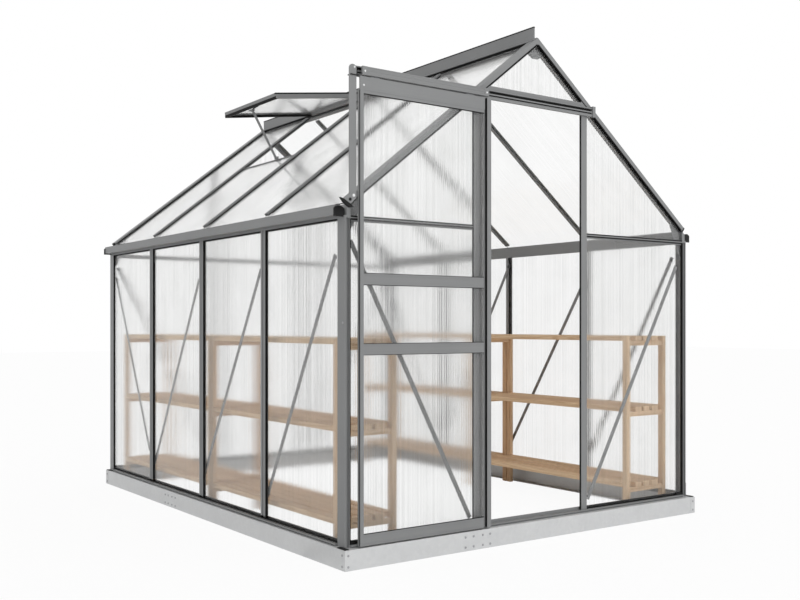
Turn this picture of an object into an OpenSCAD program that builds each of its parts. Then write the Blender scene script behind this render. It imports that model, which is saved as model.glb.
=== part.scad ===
// Apex-roof greenhouse: aluminium glazing bars, twin-wall panes, a steel base,
// a top-hung sliding door, one roof vent propped open and slatted staging on both sides.
// Millimetres, +Z up. Every piece is drawn from the base's front-left corner and
// then shifted, so that the origin is the centre of the base on the ground.
// The door stands open at rest and slides along +X to close.

/* [Base] */
// overall width of the base across the gable
base_w = 1900; // [1500:10:2600]
// overall length of the base along the ridge
base_l = 2513; // [1900:10:4400]
// height of the base rails
base_h = 74; // [50:1:120]
// sheet thickness of the base rails
base_sheet = 2; // [1.5:0.5:4]
// depth of the base rails' flanges
base_flange = 40; // [25:1:70]
// how far each corner plate reaches along a face
corner_plate = 27.5; // [20:0.5:60]
// thickness of the joining plates
plate_t = 1.2; // [1:0.1:3]
// centre of the front rail's splice from the left end
front_splice_x = 604; // [300:1:1600]
// centre of the side rails' splice from the front end
side_splice_y = 1600; // [600:1:2000]

/* [Frame] */
// side walls stand this far in from the base's faces
side_inset = 21; // [10:1:60]
// front face of the frame from the base's front face
front_plane = 36; // [10:1:60]
// rear face of the frame from the base's front face
rear_plane = 2506; // [1900:1:4400]
// spacing of the bars along the side walls
bar_pitch = 613; // [400:1:760]
// how far the middle bar stands behind the middle of the wall
bar_shift = 14; // [-40:1:40]
// number of bays along a side wall
bays = 4; // [2:1:7]
// width of a glazing bar's outer face
bar_face = 41; // [20:1:50]
// how far a bar's cap stands proud of the pane
bar_cap = 10; // [4:0.5:16]
// how far a bar reaches behind the pane's outer face
bar_back = 14; // [8:0.5:40]
// width of a corner post's side face
post_side = 50; // [30:1:80]
// width of a corner post's front face
post_front = 22; // [15:1:60]
// thickness of the panes
pane_t = 4; // [4:0.5:10]
// top of the sills' lip
sill_top = 84; // [80:0.5:120]
// how far the sills' lip stands out from the frame
sill_lip = 10; // [4:0.5:16]
// how far the rear sill's lip stands out from the frame
rear_lip = 6; // [2:0.5:16]
// underside of the gutters
gutter_z = 1265; // [1000:1:1900]
// height of the gutters
gutter_h = 35; // [25:1:70]
// width of the gutters
gutter_w = 41; // [30:1:80]

/* [Doorway] */
// left jamb, left edge of its face
jamb_l = 612; // [400:1:900]
// width of the left jamb's face
jamb_l_w = 38; // [20:1:60]
// left edge of the right jamb
jamb_r = 1200; // [1000:1:1500]
// width of the right jamb's face
jamb_r_w = 32; // [20:1:60]
// underside of the header over the doorway
header_z = 1771; // [1600:1:1900]
// height of the header
header_h = 50; // [20:1:80]

/* [Roof] */
// height of the roof's outer line at the ridge
apex_z = 2055; // [1800:1:2600]
// rise of the roof over its run
roof_rise = 0.797; // [0.4:0.001:1.2]
// width of the gable rafters' faces, square to the slope
rafter_w = 22; // [15:1:50]
// depth of the rafters' box behind the gable panes, square to the slope
rafter_back = 29; // [22:1:60]
// width of the roof bars between the gables
roof_bar_face = 28; // [18:1:50]
// length of the roof bars and rafters down the slope
roof_run = 1170; // [800:1:1800]
// top of the ridge's upright plate
ridge_top = 2106; // [2060:1:2700]
// thickness of the ridge's upright plate
ridge_t = 5; // [3:0.5:20]

/* [Roof vent] */
// bay that holds the vent, counted from the front
vent_bay = 2; // [0:1:3]
// length of the vent down the slope
vent_len = 528; // [300:1:700]
// angle of the propped vent below level
vent_drop = 8; // [-20:0.5:38]
// depth of the vent's rails
vent_rail_h = 27; // [10:1:30]
// width of the vent's rails
vent_rail_w = 14; // [10:1:40]

/* [Sliding door] */
// width of the door
door_w = 607; // [500:1:800]
// left edge of the open door
door_x = 65; // [55:1:200]
// underside of the door
door_z0 = 80; // [76:0.5:120]
// top of the door
door_z1 = 1762; // [1600:1:1900]
// front face of the door
door_y = 2; // [0:0.5:20]
// thickness of the door
door_t = 18; // [12:0.5:40]
// how far the door slides to close
door_travel = 555; // [300:1:800]
// left end of the cover over the hangers
cover_x = 74; // [55:1:200]
// length of the cover over the hangers
cover_l = 586; // [400:1:800]
// left end of the track
track_x0 = 44; // [20:1:200]
// right end of the track
track_x1 = 1254; // [1000:1:1600]
// front face of the track
track_y = 25; // [22:0.5:30]
// underside of the track
track_z0 = 1765; // [1700:0.5:1900]
// top of the track
track_z1 = 1802; // [1740:0.5:1950]

/* [Staging] */
// height of the staging
stage_h = 822; // [500:1:1100]
// width of a staging unit across the house
stage_w = 265; // [200:1:600]
// length of a staging unit along the house
stage_l = 1124; // [600:1:1150]
// outer edge of the left staging from the base's left face
stage_left_x = 75; // [50:1:200]
// front end of the left staging from the base's front face
stage_left_y = 175; // [70:1:200]
// outer edge of the right staging from the base's right face
stage_right_x = 60; // [50:1:200]
// front end of the right staging from the base's front face
stage_right_y = 122; // [70:1:200]
// size of the staging's posts along the house
stage_post = 30; // [20:1:70]
// size of the staging's posts across the house
stage_post_x = 22; // [15:1:70]
// top of the middle shelf
shelf_mid = 497; // [300:1:700]
// top of the bottom shelf
shelf_low = 151; // [60:1:300]
// thickness of a shelf's boards
shelf_t = 22; // [8:1:30]
// depth of the cross rails under a shelf
shelf_rail = 22; // [15:1:70]

/* [Hidden] */

mid_x = base_w / 2;
mid_y = (front_plane + rear_plane) / 2;
pitch = atan(roof_rise);
first_bar = mid_y + bar_shift - bar_pitch * bays / 2;
web = 4;                                  // thickness of a bar's web
pane_x = side_inset + bar_cap;            // outer face of the side panes
pane_y = front_plane + bar_cap;           // outer face of the front panes
inner_y = pane_y + bar_back - 2;          // inner face of the jambs
gable_z = gutter_z - 21;                  // underside of the gables' eave bars
post_in = pane_x + 9;                     // inner face of a corner post's tube
roof_foot = roof_run + 10;                // lower edge of the roof panes
vent_bars = [for (i = [0, 1]) first_bar + bar_pitch * (vent_bay + i)];
vent_y0 = vent_bars[0] + 16;
vent_y1 = vent_bars[1] - 30;
vent_hinge = [20, 6];                     // hinge, out from the ridge line and above it
vent_cut = 554.3;                          // slope distance where the vent's opening ends
frame_grey = [0.46, 0.47, 0.48];
pale_grey = [0.74, 0.75, 0.76];
pane_grey = [0.90, 0.92, 0.93, 0.45];
black = [0.05, 0.05, 0.05];
pine = [0.86, 0.70, 0.50];

// a block given by its low and high values on each axis
module block(x, y, z) {
  translate([x[0], y[0], z[0]])
    cube([x[1] - x[0], y[1] - y[0], z[1] - z[0]]);
}

// a section drawn in X and Z, run along Y
module along_y(y0, y1) {
  translate([0, y1, 0]) rotate([90, 0, 0]) linear_extrude(y1 - y0) children();
}

// a section drawn in Y and Z, run along X
module along_x(x0, x1) {
  translate([x0, 0, 0]) rotate([90, 0, 90]) linear_extrude(x1 - x0) children();
}

// moves a piece from the base's corner to the shared frame
module placed() {
  translate([-base_w / 2, -base_l / 2, 0]) children();
}

// the same piece on the other side of the ridge
module other_side() {
  translate([base_w, 0, 0]) mirror([1, 0, 0]) children();
}

module both_sides() {
  children();
  other_side() children();
}

// the same piece on the other gable
module other_end() {
  translate([0, 2 * mid_y, 0]) mirror([0, 1, 0]) children();
}

module both_ends() {
  children();
  other_end() children();
}

// a point on the right slope: s down the slope from the ridge line, d below the roof's face
function slope(s, d) = [mid_x + s * cos(pitch) - d * sin(pitch),
                        apex_z - s * sin(pitch) - d * cos(pitch)];

// height of the roof's face at x, lowered by d square to the slope
function roof_z(x, d) = apex_z - roof_rise * abs(x - mid_x) - d / cos(pitch);

// a strip of the right slope between two distances and two depths
module slope_strip(s, d) {
  polygon([slope(s[0], d[0]), slope(s[1], d[0]), slope(s[1], d[1]), slope(s[0], d[1])]);
}

// a flat strip from a to b, drawn in X and Z and run along Y
module brace_xz(a, b, w, y) {
  long = norm(b - a);
  turn = atan2(b[1] - a[1], b[0] - a[0]);
  along_y(y[0], y[1])
    translate(a) rotate(turn) translate([0, -w / 2]) square([long, w]);
}

// a flat strip from a to b, drawn in Y and Z and run along X
module brace_yz(a, b, w, x) {
  long = norm(b - a);
  turn = atan2(b[1] - a[1], b[0] - a[0]);
  along_x(x[0], x[1])
    translate(a) rotate(turn) translate([0, -w / 2]) square([long, w]);
}

// ---- base ----

// the front rail's channel: web outside, flanges turned inwards
module front_channel() {
  block([plate_t, base_w - plate_t], [plate_t, plate_t + base_sheet], [0, base_h]);
  block([plate_t + base_sheet, base_w - plate_t - base_sheet],
    [plate_t, base_flange], [base_h - base_sheet, base_h]);
  block([plate_t + base_sheet, base_w - plate_t - base_sheet],
    [plate_t, base_flange], [0, base_sheet]);
}

module side_channel() {
  low = plate_t + base_sheet;
  block([plate_t, low], [low, base_l - low], [0, base_h]);
  block([plate_t, base_flange], [base_flange, base_l - base_flange],
    [base_h - base_sheet, base_h]);
  block([plate_t, base_flange], [base_flange, base_l - base_flange], [0, base_sheet]);
}

module base_front_rail() {
  color(pale_grey) placed() front_channel();
}

module base_rear_rail() {
  color(pale_grey) placed()
    translate([0, base_l, 0]) mirror([0, 1, 0]) front_channel();
}

module base_left_rail() {
  color(pale_grey) placed() side_channel();
}

module base_right_rail() {
  color(pale_grey) placed() other_side() side_channel();
}

module corner_angle() {
  block([0, corner_plate], [0, plate_t], [1, base_h - 1]);
  block([0, plate_t], [0, corner_plate], [1, base_h - 1]);
}

// angles outside the four corners, splice plates inside the front, rear and side rails
module base_joining_plates() {
  low = plate_t + base_sheet;
  color(pale_grey) placed() {
    both_sides() {
      corner_angle();
      translate([0, base_l, 0]) mirror([0, 1, 0]) corner_angle();
      block([low, low + 2], [side_splice_y - 75, side_splice_y + 75], [6, base_h - 6]);
    }
    block([front_splice_x - 75, front_splice_x + 75], [low, low + 2], [6, base_h - 6]);
    block([front_splice_x - 75, front_splice_x + 75],
      [base_l - low - 2, base_l - low], [6, base_h - 6]);
  }
}

// ---- sills, posts and bars ----

// sill section, out from the frame's face: foot, lip and the upright behind the pane
module sill_section(face, lip) {
  polygon([
    [face, base_h], [face, base_h + 5], [face - lip, base_h + 5],
    [face - lip, sill_top], [face + bar_cap + pane_t, sill_top],
    [face + bar_cap + pane_t, sill_top + 12], [face + bar_cap + pane_t + 4, sill_top + 12],
    [face + bar_cap + pane_t + 4, base_h]]);
}

module front_sill() {
  color(frame_grey) placed()
    along_x(side_inset + post_front, base_w - side_inset - post_front)
      sill_section(front_plane, sill_lip);
}

module rear_sill() {
  color(frame_grey) placed() other_end()
    along_x(side_inset + post_front, base_w - side_inset - post_front)
      sill_section(front_plane, rear_lip);
}

module side_sills() {
  color(frame_grey) placed() both_sides()
    along_y(front_plane + post_side, rear_plane - post_side)
      sill_section(side_inset, sill_lip);
}

// a corner post seen from above: two capped faces, the gable's one grooved, and the tube
module post_section() {
  lip = 4;
  translate([side_inset, front_plane])
    difference() {
      union() {
        square([post_front, bar_cap]);
        square([bar_cap, post_side]);
        square([post_in - side_inset, 26]);
      }
      translate([lip, -1]) square([post_front - 2 * lip, bar_cap - 1]);
    }
}

module corner_posts() {
  color(frame_grey) placed() both_sides() both_ends()
    translate([0, 0, base_h])
      linear_extrude(gutter_z - 9 - base_h) post_section();
}

// a side bar seen from above: grooved cap, web and the bolt channel inside
module side_bar_section() {
  groove = 8;
  lobe = (bar_face - groove) / 2;
  translate([side_inset + 3, -bar_face / 2]) square([bar_cap - 3, bar_face]);
  translate([side_inset, -bar_face / 2 + 1]) square([4, lobe - 1]);
  translate([side_inset, groove / 2]) square([4, lobe - 1]);
  translate([pane_x - 1, -web / 2]) square([bar_back, web]);
  translate([pane_x + bar_back - 7, -8]) square([6, 16]);
}

module side_wall_bars() {
  color(frame_grey) placed() both_sides()
    for (i = [1 : bays - 1])
      translate([0, first_bar + bar_pitch * i, sill_top + 12])
        linear_extrude(gutter_z - 9 - sill_top - 12) side_bar_section();
}

// an upright gable bar, its top cut to the rafters' underside
module gable_bar(x0, w) {
  foot = sill_top;
  x1 = x0 + w;
  mid = min(max(mid_x, x0), x1);
  outer = [for (x = [x0, mid, x1]) [x, roof_z(x, rafter_w)]];
  along_y(front_plane, pane_y)
    polygon(concat([[x1, foot], [x0, foot]], outer));
  along_y(pane_y - 1, inner_y)
    polygon([[x1 - 10, sill_top + 12], [x0 + 10, sill_top + 12],
      [x0 + 10, roof_z(x0 + 10, rafter_back) - 0.3],
      [x1 - 10, roof_z(x1 - 10, rafter_back) - 0.3]]);
}

module door_jambs() {
  color(frame_grey) placed() {
    gable_bar(jamb_l, jamb_l_w);
    gable_bar(jamb_r, jamb_r_w);
  }
}

module rear_gable_bars() {
  third = (base_w - 2 * side_inset) / 3;
  color(frame_grey) placed() other_end()
    for (i = [1, 2])
      gable_bar(side_inset + third * i - bar_face / 2, bar_face);
}

// ---- eaves ----

module eave_rails() {
  color(frame_grey) placed() both_sides()
    along_y(front_plane, rear_plane)
      polygon([
        [side_inset, gutter_z - 9], [side_inset, gutter_z],
        [gutter_w - 12, gutter_z], [gutter_w - 12, gutter_z + 28],
        [gutter_w + 5, gutter_z + 44], [gutter_w + 5, gutter_z - 14],
        [gutter_w + 3.3, gutter_z - 14], [gutter_w + 3.3, gutter_z - 9]]);
}

// an open channel with a rolled front lip and a curled back rim
module gutters() {
  x0 = -12;
  x1 = x0 + gutter_w;
  top = gutter_z + gutter_h;
  color(frame_grey) placed() both_sides()
    along_y(front_plane + 16, rear_plane - 15)
      polygon([
        [x0, gutter_z], [x0, top], [x0 + 5, top], [x0 + 5, top - 4],
        [x0 + 2, top - 4], [x0 + 2, gutter_z + 2], [x1 - 2, gutter_z + 2],
        [x1 - 2, top - 10], [x1, top - 10], [x1, gutter_z]]);
}

// upright caps with rounded tops, notched over the eave rails' foot
module gutter_end_caps() {
  cap = 6;
  half = 21;
  mid = gutter_w / 2 - 16.5;
  spring = gutter_z + 22;                 // where the straight sides end
  crown = [for (a = [0 : 15 : 180]) [mid + half * cos(a), spring + (gutter_h - 24) * sin(a)]];
  color(black) placed() both_sides()
    for (y = [front_plane + 16 - cap, rear_plane - 15])
      along_y(y, y + cap)
        polygon(concat(crown, [[mid - half, gutter_z - 5], [side_inset - 0.2, gutter_z - 5],
          [side_inset - 0.2, gutter_z + 0.2], [mid + half, gutter_z + 0.2]]));
}

// the bars across the gables at eave height, with a lip along the top
module eave_bar(x0, x1) {
  along_x(x0, x1)
    polygon([
      [front_plane + 1, gable_z + 10], [front_plane + 1, gable_z + 18],
      [inner_y - 2, gable_z + 18], [inner_y - 2, gable_z + 14],
      [pane_y + pane_t, gable_z + 14], [pane_y + pane_t, gable_z + 8],
      [pane_y, gable_z + 8], [pane_y, gable_z], [pane_y - 4, gable_z],
      [pane_y - 4, gable_z + 10]]);
}

module gable_eave_bars() {
  left_end = gutter_w + 5.2;
  third = (base_w - 2 * side_inset) / 3;
  color(frame_grey) placed() {
    eave_bar(left_end, jamb_l);
    eave_bar(jamb_r + jamb_r_w, base_w - left_end);
    other_end() {
      eave_bar(left_end, side_inset + third - bar_face / 2);
      eave_bar(side_inset + third + bar_face / 2, side_inset + 2 * third - bar_face / 2);
      eave_bar(side_inset + 2 * third + bar_face / 2, base_w - left_end);
    }
  }
}

// ---- roof ----

// one gable rafter on the right slope: face, box behind the gable panes and top flange
module rafter() {
  box_x = mid_x + ridge_t / 2 + 0.1;
  back = front_plane + post_side;
  along_y(front_plane, pane_y + pane_t + 0.2)
    polygon([[mid_x + 0.1, roof_z(mid_x, 0)], slope(roof_run, 0), slope(roof_run, rafter_w),
      [mid_x + 0.1, roof_z(mid_x, rafter_w)]]);
  along_y(pane_y + pane_t, pane_y + pane_t + 15)
    polygon([[box_x, roof_z(box_x, 0)], slope(roof_run, 0), slope(roof_run, rafter_back),
      [box_x, roof_z(box_x, rafter_back)]]);
  along_y(front_plane + 20, back)
    polygon([[box_x, roof_z(box_x, 0)], slope(roof_run, 0), slope(roof_run, 9),
      [box_x, roof_z(box_x, 9)]]);
}

module front_gable_rafters() {
  color(frame_grey) placed() both_sides() rafter();
}

module rear_gable_rafters() {
  color(frame_grey) placed() other_end() both_sides() rafter();
}

// roof bars: grooved cap, web and bolt channel under the panes
module roof_bar(y, s0) {
  lobe = (roof_bar_face - 6) / 2;
  along_y(y - roof_bar_face / 2, y + roof_bar_face / 2)
    slope_strip([s0, roof_run], [3, bar_cap]);
  for (side = [-1, 1])
    along_y(y + side * (3 + lobe / 2) - lobe / 2 + 0.5, y + side * (3 + lobe / 2) + lobe / 2 - 0.5)
      slope_strip([s0, roof_run], [0, 3.5]);
  along_y(y - web / 2, y + web / 2)
    slope_strip([s0, roof_run - 26], [bar_cap - 1, bar_cap + pane_t + 1]);
  along_y(y - 8, y + 8)
    slope_strip([s0, roof_run - 26], [bar_cap + pane_t + 0.3, bar_cap + pane_t + 4.3]);
}

module roof_bars() {
  for (i = [1 : bays - 1])
    roof_bar(first_bar + bar_pitch * i, 46);
}

module left_roof_bars() {
  color(frame_grey) placed() other_side() roof_bars();
}

module right_roof_bars() {
  color(frame_grey) placed() roof_bars();
}

// one half of the ridge: upright plate, capping flange, web and the ledge under the panes
module ridge_half() {
  plate = mid_x + ridge_t / 2;
  along_y(front_plane + 22, rear_plane - 22)
    polygon([[mid_x - 0.5, ridge_top], [plate, ridge_top], [plate, roof_z(plate, 20)],
      [mid_x - 0.5, roof_z(plate, 20)]]);
  along_y(front_plane + 6, rear_plane - 6)
    polygon([[mid_x - 0.5, roof_z(mid_x, -2)], slope(17, -2), slope(17, -0.2),
      [mid_x, roof_z(mid_x, -0.2)], [mid_x - 0.5, roof_z(mid_x, -0.2)]]);
  along_y(front_plane + post_side + 0.3, rear_plane - post_side - 0.3) {
    polygon([slope(4, -1), slope(17, -1), slope(17, 4), slope(4, 4)]);
    polygon([[mid_x - 0.5, roof_z(mid_x, 0)], [mid_x + 4, roof_z(mid_x + 4, 0)],
      [mid_x + 4, roof_z(mid_x + 4, 16)], [mid_x - 0.5, roof_z(mid_x + 4, 16)]]);
    polygon([[mid_x - 0.5, roof_z(mid_x, 14.3)], slope(34, 14.3), slope(34, 18),
      [mid_x - 0.5, roof_z(mid_x, 18)]]);
  }
}

module ridge() {
  color(frame_grey) placed() both_sides() ridge_half();
}

// ---- panes ----

function bay_y(i) = [
  i == 0 ? front_plane + 29.4 : first_bar + bar_pitch * i + web / 2 + 0.2,
  i == bays - 1 ? rear_plane - 29.4 : first_bar + bar_pitch * (i + 1) - web / 2 - 0.2];

module side_wall_glazing() {
  color(pane_grey) placed() both_sides()
    for (i = [0 : bays - 1])
      block([pane_x, pane_x + pane_t], bay_y(i), [sill_top, gutter_z - 9]);
}

// roof panes of one slope; the vent's bay is cut short when asked
module roof_panes(cut) {
  for (i = [0 : bays - 1])
    along_y(bay_y(i)[0], bay_y(i)[1])
      slope_strip([cut && i == vent_bay ? vent_cut : 20, roof_foot], [bar_cap, bar_cap + pane_t]);
}

module left_roof_glazing() {
  color(pane_grey) placed() other_side() roof_panes(true);
}

module right_roof_glazing() {
  color(pane_grey) placed() roof_panes(false);
}

// a gable pane between two uprights, from z0 up to z1 or to the rafters
module gable_pane(x0, x1, z0, z1) {
  top_l = min(z1, roof_z(x0, rafter_w));
  top_r = min(z1, roof_z(x1, rafter_w));
  peak = x0 < mid_x && x1 > mid_x ? [[mid_x, min(z1, roof_z(mid_x, rafter_w))]] : [];
  along_y(pane_y, pane_y + pane_t)
    polygon(concat([[x1, z0], [x0, z0], [x0, top_l]], peak, [[x1, top_r]]));
}

module front_gable_glazing() {
  far = 4000;
  over_door = header_z + header_h;
  peak = roof_z(mid_x, rafter_w);
  half = (peak - over_door) / roof_rise;
  color(pane_grey) placed() {
    gable_pane(post_in, jamb_l + 10, sill_top, gable_z + 6.8);
    gable_pane(post_in + 8, jamb_l + 10, gable_z + 18, far);
    gable_pane(jamb_r + jamb_r_w - 10, base_w - post_in, sill_top, gable_z + 6.8);
    gable_pane(jamb_r + jamb_r_w - 10, base_w - post_in - 8, gable_z + 18, far);
    along_y(pane_y, pane_y + pane_t)
      polygon([[mid_x + half, over_door], [mid_x - half, over_door], [mid_x, peak]]);
  }
}

module rear_gable_glazing() {
  far = 4000;
  third = (base_w - 2 * side_inset) / 3;
  a = side_inset + third;
  b = side_inset + 2 * third;
  half = bar_face / 2 - 10;
  color(pane_grey) placed() other_end() {
    gable_pane(post_in, a - half, sill_top, gable_z + 6.8);
    gable_pane(a + half, b - half, sill_top, gable_z + 6.8);
    gable_pane(b + half, base_w - post_in, sill_top, gable_z + 6.8);
    gable_pane(post_in + 8, a - half, gable_z + 18, far);
    gable_pane(a + half, b - half, gable_z + 18, far);
    gable_pane(b + half, base_w - post_in - 8, gable_z + 18, far);
  }
}

// ---- braces and gussets ----

module side_wall_braces() {
  x = [pane_x + bar_back, pane_x + bar_back + 3];
  color(frame_grey) placed() {
    brace_yz([140, 1130], [677, 173], 18, x);
    brace_yz([736, 1101], [1301, 187], 18, x);
    brace_yz([1360, 1083], [1912, 165], 18, x);
    brace_yz([2474, 1133], [1979, 233], 18, x);
    other_side() {
      brace_yz([96, 1190], [655, 178], 18, x);
      brace_yz([660, 1120], [1276, 172], 18, x);
      brace_yz([1262, 1211], [1880, 196], 18, x);
      brace_yz([2474, 1133], [1979, 233], 18, x);
    }
  }
}

module gable_braces() {
  y = [inner_y, inner_y + 3];
  color(frame_grey) placed() {
    brace_xz([58, 1177], [608, 115], 18, y);
    brace_xz([1837, 1146], [1258, 121], 18, y);
    other_end() both_sides()
      brace_xz([58, 1190], [636, 130], 18, y);
  }
}

// plates behind the gables: post to rafter at the eaves, rafter to rafter at the peak
module frame_gussets() {
  low = gutter_z - 70;
  rail = gutter_w + 5.2;
  peak = roof_z(mid_x, rafter_back) - 0.4;
  color(frame_grey) placed() both_ends() {
    both_sides()
      along_y(inner_y - 2, inner_y)
        polygon([
          [post_in + 0.2, low], [post_in + 0.2, gutter_z - 14.4], [rail, gutter_z - 14.4],
          [rail, roof_z(rail, rafter_back) - 0.4], [rail + 62, roof_z(rail + 62, rafter_back) - 0.4],
          [rail + 66, gutter_z + 70], [rail + 52, gutter_z + 42], [rail + 37, gutter_z - 3],
          [rail + 24, gutter_z - 21], [post_in + 14, gutter_z - 58]]);
    along_y(inner_y - 2, inner_y)
      polygon([
        [mid_x - 40, roof_z(mid_x - 40, rafter_back) - 0.4], [mid_x, peak],
        [mid_x + 40, roof_z(mid_x + 40, rafter_back) - 0.4], [mid_x + 14, peak - 46],
        [mid_x - 14, peak - 46]]);
  }
}

// ---- roof vent ----

// vent coordinates: s out from the hinge, height below its upper face
module vent_space() {
  placed() other_side()
    translate([mid_x + vent_hinge[0], 0, apex_z + vent_hinge[1]])
      rotate([0, vent_drop, 0]) children();
}

module vent_frame() {
  w = vent_rail_w;
  h = vent_rail_h;
  color(frame_grey) vent_space()
    difference() {
      block([0, vent_len], [vent_y0, vent_y1], [-h, 0]);
      block([w, vent_len - w], [vent_y0 + w, vent_y1 - w], [-h - 1, 1]);
      block([w - 6, vent_len - w + 6], [vent_y0 + w - 6, vent_y1 - w + 6], [-18, -18 + pane_t]);
    }
}

module vent_glazing() {
  w = vent_rail_w - 6;
  color(pane_grey) vent_space()
    block([w, vent_len - w], [vent_y0 + w, vent_y1 - w], [-18, -18 + pane_t]);
}

module vent_sill_bar() {
  half = roof_bar_face / 2 + 0.2;
  color(frame_grey) placed() other_side()
    along_y(vent_bars[0] + half, vent_bars[1] - half)
      polygon([slope(549, 7), slope(vent_cut, 7), slope(vent_cut, bar_cap + pane_t + 0.2),
        slope(568, bar_cap + pane_t + 0.2), slope(568, bar_cap + pane_t + 2.4),
        slope(549, bar_cap + pane_t + 2.4)]);
}

// a flat arm from the sill bar up to a hook under the vent's free edge
module vent_stay() {
  foot = [519, 1513, 1716.5];
  head = [424, 1580, 1954];
  arm = head - foot;
  long = norm(arm);
  lean = acos(arm[2] / long);
  round_to = atan2(arm[1], arm[0]);
  color(frame_grey) placed() {
    translate(foot) rotate([0, lean, round_to])
      translate([-6, -1.5, 0]) cube([12, 3, long]);
    block([foot[0], foot[0] + 6], [foot[1] - 22, foot[1] + 12], [foot[2] - 9, foot[2] + 2.4]);
    block([head[0] - 9, head[0] + 7], [head[1] - 14, head[1] + 26], [head[2] - 3, head[2] + 2]);
  }
}

// ---- door track ----

// one layer of the header between the jambs, its corners cut under the rafters
module header_layer(y, depth) {
  clear = depth + 0.3;
  along_y(y[0], y[1])
    intersection() {
      translate([jamb_l + jamb_l_w, header_z])
        square([jamb_r - jamb_l - jamb_l_w, header_h]);
      polygon([[0, roof_z(0, clear)], [base_w, roof_z(base_w, clear)], [mid_x, roof_z(mid_x, clear)]]);
    }
}

module door_header() {
  color(frame_grey) placed() {
    header_layer([front_plane, pane_y], rafter_w);
    header_layer([pane_y - 1, inner_y], rafter_back);
  }
}

// box track: bottom lip, open channel with the ledge that the wheels run on, top lip
module door_track() {
  y = track_y;
  z0 = track_z0;
  z1 = track_z1;
  color(frame_grey) placed() {
    along_x(track_x0, track_x1)
      polygon([
        [y, z0], [y, z0 + 9], [y + 3, z0 + 12], [y + 3, z0 + 17], [y + 0.5, z0 + 17],
        [y + 0.5, z0 + 22], [y + 2, z0 + 22], [y + 2, z0 + 20], [front_plane - 2, z0 + 20],
        [front_plane - 2, z1 - 4], [y, z1 - 4], [y, z1], [front_plane, z1], [front_plane, z0]]);
    block([track_x1, track_x1 + 16], [y - 4, front_plane], [z0 - 1, z1 + 7]);
  }
}

// flat post with a rounded head that carries the track's free end beside the gable
module track_support_post() {
  z0 = gutter_z + 57;
  z1 = track_z1 - 1;
  x = [23, 53];
  r = (x[1] - x[0]) / 2;
  color(frame_grey) placed() {
    block(x, [8, 12], [z0, z1 - r]);
    along_y(8, 12)
      intersection() {
        translate([x[0] + r, z1 - r]) circle(r, $fn = 48);
        translate([x[0], z1 - r - 0.5]) square([2 * r, r + 1]);
      }
    block([x[0] + 11, x[1]], [11, front_plane - 0.2], [z0, z0 + 4]);
    block([track_x0 + 1, x[1]], [11, track_y - 0.2], [track_z0 + 1, track_z0 + 12]);
  }
}

// ---- staging ----

// the two units of each run, drawn from a unit's front-left corner on the ground
module each_unit() {
  run = [[stage_left_x, stage_left_y], [base_w - stage_right_x - stage_w, stage_right_y]];
  color(pine) placed()
    for (p = run)
      for (i = [0, 1])
        translate([p[0], p[1] + i * (stage_l + 6), 0]) children();
}

module staging_posts() {
  each_unit()
    for (x = [0, stage_w - stage_post_x])
      for (y = [0, stage_l - stage_post])
        block([x, x + stage_post_x], [y, y + stage_post], [0, stage_h]);
}

// cross rails between the posts under the ends of each shelf
module staging_rails() {
  t = 20;
  each_unit()
    for (top = [stage_h, shelf_mid, shelf_low])
      for (y = [5, stage_l - 5 - t])
        block([stage_post_x, stage_w - stage_post_x], [y, y + t],
          [top - shelf_t - shelf_rail, top - shelf_t]);
}

module staging_shelves() {
  each_unit()
    for (top = [stage_h, shelf_mid, shelf_low])
      difference() {
        block([0, stage_w], [0, stage_l], [top - shelf_t, top]);
        for (x = [-1, stage_w - stage_post_x - 0.2])
          for (y = [-1, stage_l - stage_post - 0.2])
            block([x, x + stage_post_x + 1.2], [y, y + stage_post + 1.2],
              [top - shelf_t - 1, top + 1]);
      }
}

// ---- sliding door ----

stile_l = 15;
stile_r = 20;
recess = 15;
plate_h = 49;                             // height of the plate at the door's head
plate_gap = 31;                           // right edge of that plate from the door's edge
door_rail_z = [[door_z0, 121], [765, 804], [1017, 1057]];

module door_stiles() {
  x1 = door_x + door_w;
  y1 = door_y + door_t;
  color(frame_grey) placed() {
    block([door_x, door_x + stile_l], [door_y, y1], [door_z0, door_z1 - plate_h]);
    block([x1 - stile_r, x1], [door_y, y1], [door_z0, door_z1]);
    block([x1 - stile_r - recess, x1 - stile_r], [y1 - 6, y1], [door_z0, door_z1]);
  }
}

module door_rails() {
  x = [door_x + stile_l, door_x + door_w - stile_r - recess];
  color(frame_grey) placed()
    for (z = door_rail_z)
      difference() {
        block(x, [door_y + 1, door_y + door_t - 1], z);
        block([x[0] - 1, x[1] + 1], [door_y, door_y + 2.5], [z[0] + 6, z[1] - 6]);
      }
}

module door_top_plate() {
  x = [door_x, door_x + door_w - plate_gap];
  inner = [door_x + stile_l, door_x + door_w - stile_r - recess];
  z = door_z1 - plate_h;
  color(frame_grey) placed() {
    block(x, [door_y + 1, door_y + 7], [z, door_z1]);
    block([x[0], inner[1]], [door_y, door_y + door_t], [z, z + 6]);
    block(inner, [door_y + 1, door_y + door_t - 1], [z - 12, z]);
  }
}

// ribbed cover in front of the hangers, with a plain end piece at each end
module door_top_cover() {
  y = door_y - 2;
  z = door_z1 + 6;
  rib = [[0, 5], [1, 6], [1, 14], [0, 15], [0, 18], [1, 19], [1, 25], [0, 26]];
  section = concat([[y, z]], [for (p = rib) [y + p[0], z + p[1]]],
    [[y, z + 30], [y + 9, z + 30], [y + 9, z + 27], [y + 4, z + 27], [y + 4, z + 3],
     [y + 9, z + 3], [y + 9, z]]);
  color(frame_grey) placed() {
    along_x(cover_x + 21, cover_x + cover_l - 21) polygon(section);
    for (x = [cover_x, cover_x + cover_l - 22])
      block([x, x + 22], [y, y + 9], [z - 0.5, z + 30.5]);
  }
}

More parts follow.
